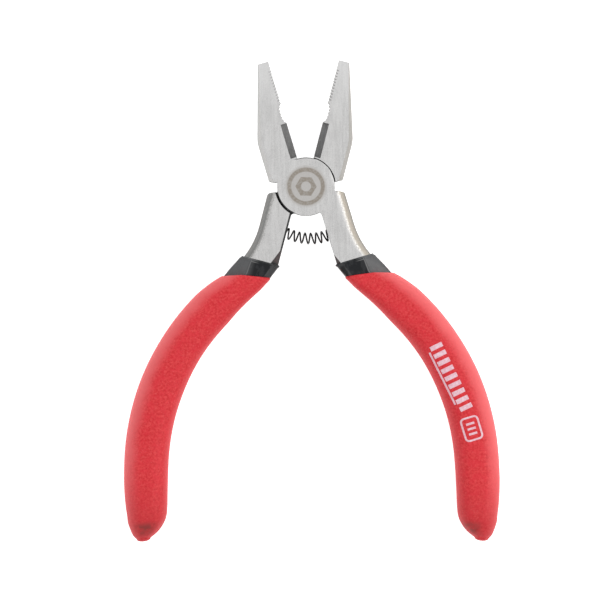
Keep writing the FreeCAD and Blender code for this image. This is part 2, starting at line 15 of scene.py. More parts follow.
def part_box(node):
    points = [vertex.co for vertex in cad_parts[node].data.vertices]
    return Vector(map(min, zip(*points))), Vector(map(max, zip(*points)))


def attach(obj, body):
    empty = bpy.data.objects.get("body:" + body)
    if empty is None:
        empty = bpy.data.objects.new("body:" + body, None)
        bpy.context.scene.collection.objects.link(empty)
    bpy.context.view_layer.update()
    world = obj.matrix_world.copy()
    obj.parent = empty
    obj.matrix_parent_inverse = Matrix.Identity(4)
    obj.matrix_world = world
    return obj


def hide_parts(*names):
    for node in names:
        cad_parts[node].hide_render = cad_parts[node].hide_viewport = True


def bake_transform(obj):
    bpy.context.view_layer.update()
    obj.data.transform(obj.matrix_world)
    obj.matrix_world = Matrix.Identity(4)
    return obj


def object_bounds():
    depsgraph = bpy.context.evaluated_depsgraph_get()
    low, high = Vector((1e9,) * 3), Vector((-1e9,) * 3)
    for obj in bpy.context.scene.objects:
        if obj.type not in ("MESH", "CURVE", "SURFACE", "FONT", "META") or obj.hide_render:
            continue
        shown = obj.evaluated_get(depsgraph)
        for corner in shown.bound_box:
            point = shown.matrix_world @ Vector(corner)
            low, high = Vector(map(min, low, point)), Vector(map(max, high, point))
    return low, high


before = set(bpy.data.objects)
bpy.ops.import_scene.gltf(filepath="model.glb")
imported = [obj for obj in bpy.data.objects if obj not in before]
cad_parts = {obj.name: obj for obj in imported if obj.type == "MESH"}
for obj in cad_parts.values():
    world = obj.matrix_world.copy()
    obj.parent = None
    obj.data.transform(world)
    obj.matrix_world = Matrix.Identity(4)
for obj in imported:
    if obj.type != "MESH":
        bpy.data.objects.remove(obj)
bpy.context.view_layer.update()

MM = 0.001
HALF_OPEN = math.radians(15.6)
lever_low, lever_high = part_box("front_lever")
THICK = (lever_high.z - lever_low.z) / MM
MID = THICK / 2

TO_ROW = {
    "front": Matrix.Rotation(HALF_OPEN, 4, "Z") @ Matrix.Scale(MM, 4),
    "rear": (Matrix.Translation((0, 0, THICK * MM)) @ Matrix.Rotation(-HALF_OPEN, 4, "Z")
             @ Matrix.Rotation(math.pi, 4, "Y") @ Matrix.Scale(MM, 4)),
}


# ---------------------------------------------------------------- mesh helpers

def smooth_mesh(obj, crease=60):
    """Shades the mesh smooth, with edges sharper than crease degrees kept sharp."""
    for face in obj.data.polygons:
        face.use_smooth = True
    obj.data.set_sharp_from_angle(angle=math.radians(crease))


def tube_of_rings(name, rings):
    """One closed mesh through rings that have the same number of points."""
    mesh = bpy.data.meshes.new(name)
    count = len(rings[0])
    points = [point for ring in rings for point in ring]
    faces = []
    for ring in range(len(rings) - 1):
        for step in range(count):
            a = ring * count + step
            b = ring * count + (step + 1) % count
            faces.append((a, b, b + count, a + count))
    for ring in (0, len(rings) - 1):
        points.append(sum(rings[ring], Vector()) / count)
        hub = len(points) - 1
        for step in range(count):
            faces.append((ring * count + step, ring * count + (step + 1) % count, hub))
    mesh.from_pydata(points, [], faces)
    mesh.validate()
    obj = bpy.data.objects.new(name, mesh)
    bpy.context.scene.collection.objects.link(obj)
    shell = bmesh.new()
    shell.from_mesh(mesh)
    bmesh.ops.recalc_face_normals(shell, faces=shell.faces)
    shell.to_mesh(mesh)
    shell.free()
    return obj


def to_row(obj, side):
    """Moves a mesh made in the closed frame to its place in the row frame."""
    obj.data.transform(TO_ROW[side])
    obj.data.update()
    return obj


def finish_piece(obj, side, material, node=None):
    """Gives a piece its material and its half to ride on, and hides the node it replaces."""
    obj.data.materials.append(material)
    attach(obj, f"{side}_half")
    if node:
        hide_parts(node)


# ---------------------------------------------------------------- grips

BOW_CENTRE = Vector((-31.43, -57.65))
BOW_RAD = 51.93
TAIL_RAD = 96.4
BOW_END = -11.15            # angle at which the bow's arc meets the tail's
GRIP_WIDE = 5.0             # half width and half thickness of a full section
GRIP_THICK = 4.7
TAIL_CUT = {"front": 0.0, "rear": 0.8}      # angle by which the tail ends early
DIP_LEVEL = 21.65
DIP_SLOPE = 0.19
DIP_LIFT = 0.62             # how far the dip line climbs on the flat faces
DIP_CREST = 0.12            # where it is highest, from -1 inside to 1 outside
MOUTH_WITHIN = 25.0         # the dip line is met within this distance down
HALVINGS = 40
LIP_ROUND = 0.28
LIP_INSET = 1.6             # how far the mouth closes in towards the sleeve
LIP_DROP = 0.15
# Angle on the arc, width and thickness given up, outward shift, corner radius.
BOW_SECTIONS = [
    (50, 2.15, 0.2, 0.8, 1.6), (46.5, 1.7, 0.1, 0.55, 1.8), (42, 1.26, 0, 0, 2.2),
    (37.5, 0.95, 0, -0.15, 2.6), (34, 0.57, 0, -0.07, 3.0), (29, 0.2, 0, -0.05, 3.5),
    (18, 0.13, 0, 0, 4.0), (4, 0, 0, 0, 4.1), (-7, 0, 0, 0, 4.1),
]
TAIL_SECTIONS = [
    (-14.5, 0.05, 0, 0, 4.1), (-18, 0.25, 0.15, 0, 4.0), (-19.5, 0.48, 0.3, 0.02, 3.8),
    (-20.4, 0.7, 0.6, 0.2, 3.6), (-21.3, 1.3, 1.15, 0.45, 3.1), (-22, 2.0, 1.85, 0.8, 2.5),
    (-22.4, 2.6, 2.4, 1.08, 2.0), (-22.78, 3.4, 3.1, 1.35, 1.4),
]


def outward(angle):
    return Vector((math.cos(math.radians(angle)), math.sin(math.radians(angle))))


TAIL_CENTRE = BOW_CENTRE - outward(BOW_END) * (TAIL_RAD - BOW_RAD)


def gentle_slopes(values, run):
    """Slopes at the stations for a curve that never overshoots its values."""
    steps = [(b - a) / (t - s) for a, b, s, t in zip(values, values[1:], run, run[1:])]
    slopes = [steps[0]]
    for before, after in zip(steps, steps[1:]):
        same_way = before * after > 0
        slopes.append(2 * before * after / (before + after) if same_way else 0.0)
    slopes.append(steps[-1])
    return slopes


def cubic(share, width, start, end, start_slope, end_slope):
    """Cubic between two values with the given slopes."""
    t2, t3 = share ** 2, share ** 3
    return ((2 * t3 - 3 * t2 + 1) * start + (t3 - 2 * t2 + share) * width * start_slope
            + (3 * t2 - 2 * t3) * end + (t3 - t2) * width * end_slope)


CORNER_STEPS = 18


class GripShape:
    """Outside of one dipped grip, as sections down the handle."""

    def __init__(self, tail_cut):
        self.centres, self.angles, rows = [], [], []
        for centre, radius, sections, early in (
                (BOW_CENTRE, BOW_RAD, BOW_SECTIONS, 0.0),
                (TAIL_CENTRE, TAIL_RAD, TAIL_SECTIONS, tail_cut)):
            for angle, narrower, thinner, shift, corner in sections:
                self.centres.append(centre + outward(angle + early) * radius)
                self.angles.append(angle + early)
                rows.append((angle + early, GRIP_WIDE - narrower, GRIP_THICK - thinner,
                             shift, corner))
        self.run = [0.0]
        for before, after in zip(self.centres, self.centres[1:]):
            self.run.append(self.run[-1] + (after - before).length)
        self.length = self.run[-1]
        self.sizes = [list(column) for column in zip(*rows)]
        self.slopes = [gentle_slopes(values, self.run) for values in self.sizes]

    def at(self, run):
        """Centre, outward direction, half sizes and corner radius at a distance down."""
        run = min(max(run, 0.0), self.length)
        low = min(bisect.bisect_right(self.run, run) - 1, len(self.run) - 2)
        high = low + 1
        width = self.run[high] - self.run[low]
        share = (run - self.run[low]) / width
        angle, half_wide, half_thick, shift, corner = (
            cubic(share, width, values[low], values[high], slopes[low], slopes[high])
            for values, slopes in zip(self.sizes, self.slopes))
        heading = [outward(self.angles[i] - 90) for i in (low, high)]
        centre = cubic(share, width, self.centres[low], self.centres[high], *heading)
        side = outward(angle)
        return centre + side * shift, side, half_wide, half_thick, corner

    def point(self, run, step, inset=0.0):
        """Point of the rounded section at a distance down, and where it is across."""
        centre, side, half_wide, half_thick, corner = self.at(run)
        half_wide, half_thick = half_wide - inset, half_thick - inset
        corner = min(max(corner - inset, 0.05), half_wide, half_thick)
        quarter, part = divmod(step, CORNER_STEPS)
        turn = math.radians(90 * (quarter + part / (CORNER_STEPS - 1)))
        sign_x = 1 if quarter in (0, 3) else -1
        sign_z = 1 if quarter in (0, 1) else -1
        across = sign_x * (half_wide - corner) + corner * math.cos(turn)
        rise = sign_z * (half_thick - corner) + corner * math.sin(turn)
        flat = centre + side * across
        return Vector((flat.x, flat.y, MID + rise)), across / half_wide

    def mouth(self, step):
        """Distance down at which this line of the grip meets the dip line."""
        low, high = 0.0, MOUTH_WITHIN
        for _ in range(HALVINGS):
            middle = (low + high) / 2
            if above_dip(*self.point(middle, step)) > 0:
                low = middle
            else:
                high = middle
        return high


def above_dip(point, across):
    """How far a point is above the dip line, which climbs on the flat faces."""
    climb = DIP_LIFT * max(0, 1 - (across - DIP_CREST) ** 2)
    return point.y + DIP_LEVEL + DIP_SLOPE * point.x - climb


SKIN_RINGS = 170
LIP_STEPS = 6
DOME_STEPS = 6
DOME_DEEP = 0.7


def grip_mesh(name, shape):
    """Dipped grip: a rounded lip at the dip line, a dense skin, and a domed tip."""
    count = 4 * CORNER_STEPS
    mouth = [shape.mouth(step) for step in range(count)]
    rings, to_tip, across = [], [], []

    def add_ring(runs, inset=0.0):
        ring = []
        for step, run in enumerate(runs):
            point, share = shape.point(run, step, inset)
            ring.append(point)
            to_tip.append(shape.length - run)
            across.append(share)
        rings.append(ring)

    add_ring([start + LIP_DROP for start in mouth], LIP_INSET)
    for part in range(1, LIP_STEPS + 1):
        turn = math.radians(90 * part / LIP_STEPS)
        down = LIP_ROUND * (1 - math.cos(turn))
        add_ring([start + down for start in mouth], LIP_ROUND * (1 - math.sin(turn)))
    for part in range(1, SKIN_RINGS + 1):
        share = part / SKIN_RINGS
        add_ring([start + LIP_ROUND + (shape.length - start - LIP_ROUND) * share
                  for start in mouth])
    end_centre, side, _, _, _ = shape.at(shape.length)
    heading = Vector((side.y, -side.x, 0))
    middle = Vector((end_centre.x, end_centre.y, MID))
    for part in range(1, DOME_STEPS):
        turn = math.radians(90 * part / DOME_STEPS)
        add_ring([shape.length] * count)
        rings[-1] = [middle + (point - middle) * math.cos(turn)
                     + heading * DOME_DEEP * math.sin(turn) for point in rings[-1]]
    obj = tube_of_rings(name, rings)
    for label, values in (("grip_to_tip", to_tip), ("grip_across", across)):
        attribute = obj.data.attributes.new(label, "FLOAT", "POINT")
        ends = [sum(values[:count]) / count, sum(values[-count:]) / count]
        attribute.data.foreach_set("value", values + ends)
    return obj


# ---------------------------------------------------------------- sleeves

# Level, x of the inner edge, of the panel's two edges and of the outer edge, then
# half heights at the inner edge, the panel and the outer edge.
SLEEVE_SECTIONS = [
    (18.6, (1.2, 2.9, 7.8, 10.2), (3.3, 4.2, 2.7)),
    (22.2, (2.7, 4.1, 8.0, 12.1), (3.0, 4.2, 2.3)),
    (26.0, (5.4, 7.0, 9.6, 13.8), (2.4, 3.8, 1.8)),
]


def sleeve_corners(level):
    """Eight corners of the sleeve's section at a level, in order round it."""
    for upper, lower in zip(SLEEVE_SECTIONS, SLEEVE_SECTIONS[1:]):
        if level <= lower[0]:
            break
    share = (level - upper[0]) / (lower[0] - upper[0])
    inner, panel_in, panel_out, outer = (
        a + (b - a) * share for a, b in zip(upper[1], lower[1]))
    low, panel, side = (a + (b - a) * share for a, b in zip(upper[2], lower[2]))
    half = [(inner, low), (panel_in, panel), (panel_out, panel), (outer, side)]
    return ([Vector((x, MID + z)) for x, z in half]
            + [Vector((x, MID - z)) for x, z in reversed(half)])


SLEEVE_CORNER = 0.42        # rounding of the sleeve's long edges
CORNER_CURVE = 5            # steps in each rounded edge
CORNER_REACH = 0.45         # the share of an edge that a rounding takes, at most
DEEPEST_INSET = 0.8         # the share of the way to the middle, at most
RIM_DROP = 0.04
RIM_ROUND = 0.3
RIM_SHARE = 0.9             # how far the rim leans in, as a share of RIM_ROUND
RIM_STEPS = 5
RIM_INSET = 1.4             # how far the top closes in towards the shank
STEP_START = 0.62           # the small step under the rim, down from the top
STEP_END = 0.78
STEP_DEEP = 0.07
BODY_START = 0.95
SLEEVE_LEVELS = 22


def soft_polygon(corners, radius, steps, inset):
    """The polygon moved in by inset, with each corner rounded by a short curve."""
    middle = sum(corners, Vector((0, 0))) / len(corners)
    points = []
    for index, corner in enumerate(corners):
        before = corners[index - 1]
        after = corners[(index + 1) % len(corners)]
        back, ahead = (before - corner), (after - corner)
        reach_back = min(radius, back.length * CORNER_REACH)
        reach_ahead = min(radius, ahead.length * CORNER_REACH)
        start = corner + back.normalized() * reach_back
        end = corner + ahead.normalized() * reach_ahead
        for step in range(steps + 1):
            t = step / steps
            point = start * (1 - t) ** 2 + corner * 2 * t * (1 - t) + end * t ** 2
            points.append(point)
    shrunk = []
    for point in points:
        inward = middle - point
        reach = min(inset, inward.length * DEEPEST_INSET)
        shrunk.append(point + inward.normalized() * reach)
    return shrunk


def sleeve_mesh(name):
    """Moulded sleeve: soft facets, a rounded rim at the top and a step under it."""
    top, bottom = SLEEVE_SECTIONS[0][0], SLEEVE_SECTIONS[-1][0]
    rings = []

    def add_ring(level, inset):
        corners = sleeve_corners(min(max(level, top), bottom))
        section = soft_polygon(corners, SLEEVE_CORNER, CORNER_CURVE, inset)
        rings.append([Vector((p.x, -level, p.y)) for p in section])

    add_ring(top + RIM_DROP, RIM_INSET)
    for part in range(1, RIM_STEPS + 1):
        turn = math.radians(90 * part / RIM_STEPS)
        add_ring(top + RIM_ROUND * (1 - math.sin(turn)), RIM_ROUND * math.cos(turn) * RIM_SHARE)
        level = top + RIM_ROUND * (1 - math.cos(turn))
        rings[-1] = [Vector((p.x, -level, p.z)) for p in rings[-1]]
    add_ring(top + STEP_START, 0.0)
    add_ring(top + STEP_END, STEP_DEEP)
    for part in range(SLEEVE_LEVELS + 1):
        down = BODY_START + (bottom - top - BODY_START) * part / SLEEVE_LEVELS
        add_ring(top + down, STEP_DEEP)
    return tube_of_rings(name, rings)


# ---------------------------------------------------------------- print on the grip

PRINT_FIRST = Vector((17.60, -42.73))     # middle of the first bar and of the last one
PRINT_LAST = Vector((20.03, -57.60))
BADGE_CENTRE = Vector((19.87, -62.57))
PRINT_DEPTH = 0.05
BARS = 9
BAR_HALF = 1.45             # half the length of a bar
BAR_SHARE = 0.56            # width of a bar as a share of the pitch
LINE_START = (1.98, 0.55)   # underline: how far beside and past the first bar
LINE_END = (1.88, 1.5)      # and how far beside and short of the last one
LINE_WIDE = 0.40
LINE_STEPS = 40
BADGE_HALF = (1.9, 2.55)    # half width and half length of the badge's frame
BADGE_CORNER = 0.75
BADGE_STEPS = 4             # steps in each rounded corner
BADGE_LINE = 0.42
DASH_PITCH = 1.15
DASH_HALF = 0.95
DASH_WIDE = 0.5
DASH_STEPS = 4
OVERHEAD = 30               # height from which points are dropped on to the grip


def conform(surface, outline_rows):
    """Thin raised patch: rows of flat points laid on the surface, with sides and a back."""
    top_rows, back_rows = [], []
    for row in outline_rows:
        top_row, back_row = [], []
        for flat in row:
            start = Vector((flat.x, flat.y, OVERHEAD))
            hit, normal, _, _ = surface.ray_cast(start, Vector((0, 0, -1)))
            top_row.append(hit + normal * PRINT_DEPTH)
            back_row.append(hit - normal * PRINT_DEPTH)
        top_rows.append(top_row)
        back_rows.append(back_row)
    return top_rows, back_rows


def add_patch(shell, surface, rows, looped=False):
    """Adds one raised patch to the bmesh. A looped patch closes on itself like a frame."""
    top_rows, back_rows = conform(surface, rows)
    tops = [[shell.verts.new(p) for p in row] for row in top_rows]
    backs = [[shell.verts.new(p) for p in row] for row in back_rows]
    count = len(rows)
    last = count if looped else count - 1
    for i in range(last):
        j = (i + 1) % count
        for k in range(len(rows[0]) - 1):
            shell.faces.new((tops[i][k], tops[i][k + 1], tops[j][k + 1], tops[j][k]))
            shell.faces.new((backs[i][k], backs[j][k], backs[j][k + 1], backs[i][k + 1]))
        for k in (0, -1):
            shell.faces.new((tops[i][k], tops[j][k], backs[j][k], backs[i][k]))
    if not looped:
        for i in (0, -1):
            for k in range(len(rows[0]) - 1):
                shell.faces.new((tops[i][k], backs[i][k], backs[i][k + 1], tops[i][k + 1]))


def bar_rows(start, end, width, steps=8):
    """Rows of points for a straight bar from start to end."""
    along = (end - start).normalized()
    side = Vector((-along.y, along.x)) * width / 2
    rows = []
    for step in range(steps + 1):
        middle = start + (end - start) * step / steps
        rows.append([middle - side, middle, middle + side])
    return rows


def frame_rows(path, width):
    """Rows of points for a line of the given width along a closed path."""
    rows = []
    for index, point in enumerate(path):
        ahead = path[(index + 1) % len(path)]
        along = (ahead - path[index - 1]).normalized()
        side = Vector((-along.y, along.x)) * width / 2
        rows.append([point - side, point + side])
    return rows


def even_path(corners, spacing=0.3):
    """Points spaced evenly along a closed run of straight lines."""
    path = []
    for start, end in zip(corners, corners[1:] + corners[:1]):
        parts = max(1, round((end - start).length / spacing))
        path += [start + (end - start) * part / parts for part in range(parts)]
    return path


def badge_path(half_wide, half_long, corner):
    """Plain rounded rectangle, as a closed path."""
    points = []
    for sign_x, sign_y, first in ((1, 1, 0), (-1, 1, 90), (-1, -1, 180), (1, -1, 270)):
        for step in range(BADGE_STEPS + 1):
            turn = math.radians(first + 90 * step / BADGE_STEPS)
            points.append(Vector((sign_x * (half_wide - corner) + corner * math.cos(turn),
                                  sign_y * (half_long - corner) + corner * math.sin(turn))))
    return even_path(points)


def print_mesh(name, grip):
    """Plain bars, an underline and a badge with plain dashes, in place of the lettering."""
    surface = BVHTree.FromPolygons([v.co.copy() for v in grip.data.vertices],
                                   [tuple(p.vertices) for p in grip.data.polygons])
    along = (PRINT_LAST - PRINT_FIRST).normalized()
    across = Vector((-along.y, along.x))
    pitch = (PRINT_LAST - PRINT_FIRST).length / (BARS - 1)
    shell = bmesh.new()
    for bar in range(BARS):
        middle = PRINT_FIRST + along * pitch * bar
        reach = across * BAR_HALF
        add_patch(shell, surface, bar_rows(middle - reach, middle + reach, pitch * BAR_SHARE))
    line_start = PRINT_FIRST - across * LINE_START[0] + along * LINE_START[1]
    line_end = PRINT_LAST - across * LINE_END[0] - along * LINE_END[1]
    add_patch(shell, surface, bar_rows(line_start, line_end, LINE_WIDE, LINE_STEPS))
    frame_path = [BADGE_CENTRE + point for point in badge_path(*BADGE_HALF, BADGE_CORNER)]
    add_patch(shell, surface, frame_rows(frame_path, BADGE_LINE), looped=True)
    for dash in (-1, 0, 1):
        middle = BADGE_CENTRE + Vector((0, DASH_PITCH * dash))
        reach = Vector((DASH_HALF, 0.0))
        dash_rows = bar_rows(middle - reach, middle + reach, DASH_WIDE, DASH_STEPS)
        add_patch(shell, surface, dash_rows)
    bmesh.ops.recalc_face_normals(shell, faces=shell.faces)
    mesh = bpy.data.meshes.new(name)
    shell.to_mesh(mesh)
    shell.free()
    obj = bpy.data.objects.new(name, mesh)
    bpy.context.scene.collection.objects.link(obj)
    return obj


# ---------------------------------------------------------------- spring

SPRING_ARC = 11.6
SPRING_COIL = 1.16
SPRING_WIRE = 0.19
SPRING_TURN = 6.77          # degrees about the pivot for each turn
SPRING_FIRST = -22.6        # where the first crest is
SPRING_DROOP = 0.08         # the right end sits lower than the left
SPRING_TURNS = 8.1
SPRING_START = -0.55        # the wire's first point, in turns from the first crest
STEPS_PER_TURN = 28


def spring_line():
    """Points along the wire, coiled round an arc about the pivot."""
    points = []
    for step in range(int(SPRING_TURNS * STEPS_PER_TURN) + 1):
        turn = SPRING_START + step / STEPS_PER_TURN
        around = math.radians(360 * turn)
        about = math.radians(SPRING_FIRST + SPRING_TURN * turn)
        radius = SPRING_ARC - SPRING_COIL * math.cos(around)
        x = radius * math.sin(about)
        y = -radius * math.cos(about) - SPRING_DROOP * x
        points.append(Vector((x, y, MID + SPRING_COIL * math.sin(around))) * MM)
    return points


def wire_mesh(name, line, radius, sides=12):
    """Round wire along a line of points, with its frame carried smoothly along."""
    rings = []
    normal = Vector((0, 0, 1))
    for index, point in enumerate(line):
        ahead = line[min(index + 1, len(line) - 1)]
        behind = line[max(index - 1, 0)]
        heading = (ahead - behind).normalized()
        normal = (normal - heading * normal.dot(heading)).normalized()
        binormal = heading.cross(normal)
        rings.append([point + (normal * math.cos(turn) + binormal * math.sin(turn)) * radius
                      for turn in (2 * math.pi * k / sides for k in range(sides))])
    return tube_of_rings(name, rings)


# ---------------------------------------------------------------- materials

class Nodes:
    """Short calls for building a material's nodes."""

    def __init__(self, name):
        self.material = bpy.data.materials.new(name)
        self.material.use_nodes = True
        self.tree = self.material.node_tree
        self.shader = self.tree.nodes["Principled BSDF"]

    def add(self, kind, **settings):
        node = self.tree.nodes.new(kind)
        for key, setting in settings.items():
            setattr(node, key, setting)
        return node

    def join(self, source, target):
        self.tree.links.new(source, target)

    def put(self, socket, source):
        if isinstance(source, (int, float, tuple)):
            socket.default_value = source
        else:
            self.join(source, socket)

    def math(self, operation, *inputs, clamp=False):
        node = self.add("ShaderNodeMath", operation=operation, use_clamp=clamp)
        for socket, source in zip(node.inputs, inputs):
            self.put(socket, source)
        return node.outputs[0]

    def times(self, first, *others):
        """Product of sockets and numbers."""
        for other in others:
            first = self.math("MULTIPLY", first, other)
        return first

    def along(self, x, y, angle):
        """Distance of the point x, y along a direction in the plane."""
        return self.math("ADD", self.times(x, math.cos(angle)), self.times(y, math.sin(angle)))

    def between(self, source, low, high, soft):
        """1 where source lies between low and high, with soft edges."""
        rising = self.ramp(source, low - soft, low + soft)
        falling = self.ramp(source, high + soft, high - soft)
        return self.times(rising, falling)

    def ramp(self, source, start, end, low=0.0, high=1.0):
        """Source from start..end turned to low..high, smoothly and clamped."""
        node = self.add("ShaderNodeMapRange", interpolation_type="SMOOTHSTEP")
        self.put(node.inputs["Value"], source)
        flipped = start > end
        node.inputs["From Min"].default_value = end if flipped else start
        node.inputs["From Max"].default_value = start if flipped else end
        node.inputs["To Min"].default_value = high if flipped else low
        node.inputs["To Max"].default_value = low if flipped else high
        return node.outputs[0]

    def mix(self, share, first, second):
        node = self.add("ShaderNodeMix", data_type="RGBA")
        self.put(node.inputs["Factor"], share)
        self.put(node.inputs[6], first)
        self.put(node.inputs[7], second)
        return node.outputs[2]

    def noise(self, vector, scale, detail=3.0, roughness=0.55):
        node = self.add("ShaderNodeTexNoise")
        self.put(node.inputs["Vector"], vector)
        node.inputs["Scale"].default_value = scale
        node.inputs["Detail"].default_value = detail
        node.inputs["Roughness"].default_value = roughness
        return node.outputs["Fac"]

    def stretch(self, vector, factors):
        node = self.add("ShaderNodeVectorMath", operation="MULTIPLY")
        self.put(node.inputs[0], vector)
        node.inputs[1].default_value = factors
        return node.outputs[0]

    def bump(self, height, strength, distance):
        node = self.add("ShaderNodeBump")
        node.inputs["Strength"].default_value = strength
        node.inputs["Distance"].default_value = distance
        self.join(height, node.inputs["Height"])
        self.join(node.outputs[0], self.shader.inputs["Normal"])

    def attribute(self, name):
        return self.add("ShaderNodeAttribute", attribute_name=name).outputs["Fac"]

    def closed_frame(self, side):
        """Object coordinates turned to millimetres in the lever's closed frame."""
        coordinates = self.add("ShaderNodeTexCoord").outputs["Object"]
        turn = self.add("ShaderNodeMapping")
        flip = -1 if side == "rear" else 1
        turn.inputs["Rotation"].default_value = (0, 0, -flip * HALF_OPEN)
        turn.inputs["Location"].default_value = (0, 0, -THICK * MM if side == "rear" else 0)
        self.join(coordinates, turn.inputs["Vector"])
        return self.stretch(turn.outputs[0], (flip / MM, 1 / MM, flip / MM))

    def own_millimetres(self):
        """Object coordinates in millimetres."""
        return self.stretch(self.add("ShaderNodeTexCoord").outputs["Object"], (1 / MM,) * 3)

    def split(self, vector):
        node = self.add("ShaderNodeSeparateXYZ")
        self.join(vector, node.inputs[0])
        return node.outputs

    def own_normal_z(self):
        return self.split(self.add("ShaderNodeTexCoord").outputs["Normal"])[2]


def grey(level, warm=0.0):
    """A colour of one brightness, slightly warm or cool."""
    return (level * (1 + warm), level, level * (1 - warm), 1)


STEEL = grey(0.62, 0.004)
STEEL_DARK = grey(0.50, 0.006)
# What the unground surfaces turn to on each lever, with painted light and shade:
# lighter on the front lever, on the right, and darker on the rear lever.
BEVEL = {"front": (0.51, 0.505, 0.49, 1), "rear": (0.42, 0.40, 0.365, 1)}
SHANK_SIDE_LIT_AND_SHADED = {"front": (0.50, 0.46, 0.40, 1), "rear": (0.27, 0.27, 0.265, 1)}
STEEP_SIDE_SCALE_AND_SHADE = (0.16, 0.155, 0.145, 1)
CUTTER_GREY = {
    "front": (grey(0.055, 0.02), grey(0.12, 0.02)),
    "rear": (grey(0.040), grey(0.085)),
}
BURNT = (0.285, 0.255, 0.220, 1)
HEAT_HALO = (0.45, 0.43, 0.41, 1)
GAP_SHADE_BLACK = grey(0.004)
FLARE_DARK = grey(0.055)

# Where the features of a lever lie, in its closed frame. The pairs down to TICK_BEYOND
# say where a feature starts to show and where it shows in full.
JAW_BRIGHT = (15.0, 29.0)
SIDE_BELOW = (-1.0, -1.6)   # the round side of the shank
SIDE_BEYOND = (5.0, 5.6)
FLARE_BELOW = (-14.2, -14.6)
FLARE_WITHIN = (5.4, 5.2)
BEVEL_BELOW = (-6.3, -6.6)  # the narrow inner bevel of the shank
BEVEL_ABOVE = (-20.6, -20.2)
BEVEL_WITHIN = (2.06, 2.0)
BEVEL_DEPTH = (0.5, 0.3)
TICK_BEYOND = (-0.74, -0.56)
CUTTER_WIDE = 1.5
CUTTER_START = 6.8
CUTTER_END = 14.8
FIRST_GULLET = 20.12        # the fine teeth: middle of the first gullet, and the pitch
TOOTH_PITCH = 0.68
PITCHES = 10
LAST_GULLET = FIRST_GULLET + PITCHES * TOOTH_PITCH
GULLET_SHADE_STRENGTH = {"front": 0.35, "rear": 0.62}
HUB_RAD = 6.5
SLOT_WIDE = (6.54, 7.12)    # radii between which the slot round the hub lies
SLOT_WAY = math.radians(217)    # which way the open slot lies from the pivot
RING = (3.32, 4.22)         # inner and outer radius of the ring in the mark
NUT_FLAT = 2.15             # from the middle to a flat side of the hexagon
NUT_HOLE = 1.03
NUT_TURN = 12               # degrees by which the hexagon is turned


class LeverPlace:
    """Sockets that say where a point of a lever lies, in its closed frame."""

    def __init__(self, n, side):
        self.side = side
        self.point = n.closed_frame(side)
        self.own = n.own_millimetres()
        self.x, self.y, self.z = n.split(self.point)
        self.steep = n.math("ABSOLUTE", n.own_normal_z())
        self.radius = n.math("SQRT", n.math("ADD", n.times(self.x, self.x),
                                            n.times(self.y, self.y)))
        self.row_x = n.along(self.x, self.y, -HALF_OPEN)
        self.row_y = n.along(self.x, self.y, math.pi / 2 - HALF_OPEN)


def steel_grain(n, at):
    """Ground steel with lengthwise brush marks: colour, shine, relief and specks."""
    streaks = n.noise(n.stretch(at.own, (2.4, 0.14, 2.4)), 1.0, 4.0, 0.6)
    fine = n.noise(n.stretch(at.own, (9.0, 0.9, 9.0)), 1.0, 4.0, 0.7)
    cloud = n.noise(at.point, 0.35, 3.0)
    speck = n.noise(n.stretch(at.own, (7.0, 4.0, 7.0)), 1.0, 2.0, 0.8)
    blend = n.math("ADD", n.times(streaks, 0.45), n.times(fine, 0.35))
    blend = n.math("ADD", blend, n.times(cloud, 0.20))
    colour = n.mix(n.ramp(blend, 0.40, 0.60), STEEL_DARK, STEEL)
    colour = n.mix(n.times(n.ramp(speck, 0.42, 0.66), 0.35), colour, grey(0.74, 0.01))
    colour = n.mix(n.times(n.ramp(speck, 0.50, 0.30), 0.30), colour, grey(0.36, 0.01))
    # The jaws are a little brighter towards their tips.
    colour = n.mix(n.ramp(at.y, *JAW_BRIGHT, 0.0, 0.40), colour, grey(0.78))
    return colour, blend, n.math("ADD", streaks, fine), speck


def painted_gullet_shade(n, at, colour):
    """Painted shade in the gullets of the fine teeth, as dark ticks along the closing edge."""
    pitches = n.math("DIVIDE", n.math("SUBTRACT", at.y, FIRST_GULLET), TOOTH_PITCH)
    in_gullet = n.ramp(n.math("PINGPONG", pitches, 0.5), 0.30, 0.16)
    in_row = n.between(at.y, FIRST_GULLET - 0.2, LAST_GULLET + 0.2, 0.05)
    tick = n.times(in_gullet, n.ramp(at.x, *TICK_BEYOND), in_row)
    return n.mix(n.times(tick, GULLET_SHADE_STRENGTH[at.side]), colour, grey(0.18))


def unground_sides_and_shade(n, at, colour):
    """Bevels, the round side of the shank and its scale, with painted light and shade. Returns
    the shank's share too.
    """
    # Painted light and shade: bevels and the round side of the shank take a lighter copy of the
    # colour on the front lever and a darker one on the rear.
    colour = n.mix(n.ramp(at.steep, 0.985, 0.80, 0.0, 0.6), colour, BEVEL[at.side])
    on_side = n.times(n.ramp(at.y, *SIDE_BELOW), n.ramp(at.x, *SIDE_BEYOND))
    shank_side = n.times(on_side, n.ramp(at.steep, 0.998, 0.80))
    colour = n.mix(shank_side, colour, SHANK_SIDE_LIT_AND_SHADED[at.side])
    # Steep sides go dark: partly the darker forged steel, partly painted shade along the edges.
    colour = n.mix(n.ramp(at.steep, 0.80, 0.25, 0.0, 0.85), colour, STEEP_SIDE_SCALE_AND_SHADE)
    # Forging scale leaves bright and dark flecks where the round side meets the face.
    scale = n.noise(n.stretch(at.own, (3.2, 3.2, 3.2)), 1.0, 3.0, 0.7)
    rim_band = n.times(on_side, n.between(at.steep, 0.86, 0.985, 0.012))
    bright = n.times(rim_band, n.ramp(scale, 0.50, 0.60))
    dark = n.times(rim_band, n.ramp(scale, 0.42, 0.34))
    colour = n.mix(n.times(bright, 0.40), colour, grey(0.86, 0.02))
    return n.mix(n.times(dark, 0.60), colour, grey(0.20, 0.05)), shank_side


